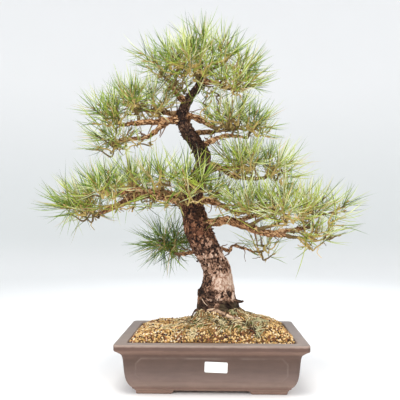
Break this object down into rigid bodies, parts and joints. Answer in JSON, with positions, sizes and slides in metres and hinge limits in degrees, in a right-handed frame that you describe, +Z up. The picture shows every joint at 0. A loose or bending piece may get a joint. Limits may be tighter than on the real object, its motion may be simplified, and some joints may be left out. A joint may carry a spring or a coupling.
{
  "type": "potted japanese black pine bonsai",
  "caption": "Old black pine in bonsai form: a tapering, leaning trunk, spreading boughs and separate masses of long needles, planted in a mound of grains in a low rectangular footed clay pot",
  "frame": {"origin": "on the surface the pot's feet stand on, under the middle of the whole plant's bounding box", "axes": "+Z up along the tree's height, -Y the front of the tree and of the pot, +X to the viewer's right from the front"},
  "size_m": [0.7678, 0.4602, 0.8781],
  "materials": {
    "pot_clay": "unglazed brown stoneware, lightly burnished",
    "soil_grains": "loose baked clay and pumice grains, rough",
    "bark": "thick flaking bark plates with dark fissures",
    "bough_bark": "thin scaly bark",
    "needles": "long paired needles, satin green"
  },
  "bodies": {
    "root": {"pot": "pot_clay", "soil": "soil_grains", "root_front": "bark", "trunk": "bark", "bough_lower_left": "bough_bark", "bough_left_front": "bough_bark", "bough_left_back": "bough_bark", "bough_mid_left": "bough_bark", "bough_mid_left_low": "bough_bark", "bough_mid_left_back": "bough_bark", "bough_crown_left": "bough_bark", "bough_crown_right": "bough_bark", "bough_upper_right": "bough_bark", "bough_upper_low": "bough_bark", "bough_upper_back": "bough_bark", "bough_mid_right": "bough_bark", "bough_mid_right_back": "bough_bark", "bough_lower_right": "bough_bark", "bough_right_tip": "bough_bark", "bough_right_back": "bough_bark", "bough_inner_right": "bough_bark", "bough_back": "bough_bark", "bough_low_left": "bough_bark", "bough_low_right": "bough_bark", "needles_lower_left_tip": "needles", "needles_lower_left_front": "needles", "needles_lower_left_middle": "needles", "needles_lower_left_inner": "needles", "needles_lower_left_heart": "needles", "needles_lower_left_rear": "needles", "needles_mid_left_tip": "needles", "needles_mid_left_top": "needles", "needles_mid_left_inner": "needles", "needles_mid_left_back": "needles", "needles_mid_left_low": "needles", "needles_crown_left_tip": "needles", "needles_crown_left": "needles", "needles_crown_top": "needles", "needles_crown_right_top": "needles", "needles_crown_right": "needles", "needles_crown_right_low": "needles", "needles_crown_front": "needles", "needles_crown_back": "needles", "needles_crown_back_left": "needles", "needles_upper_right_inner": "needles", "needles_upper_right_tip": "needles", "needles_upper_right_back": "needles", "needles_mid_right_inner": "needles", "needles_mid_right_tip": "needles", "needles_mid_right_back": "needles", "needles_lower_right_inner": "needles", "needles_lower_right_middle": "needles", "needles_lower_right_front": "needles", "needles_lower_right_tip": "needles", "needles_lower_right_under": "needles", "needles_lower_right_back": "needles", "needles_back_left": "needles", "needles_back_right": "needles", "needles_low_left": "needles", "needles_low_right": "needles"}
  },
  "joints": []
}
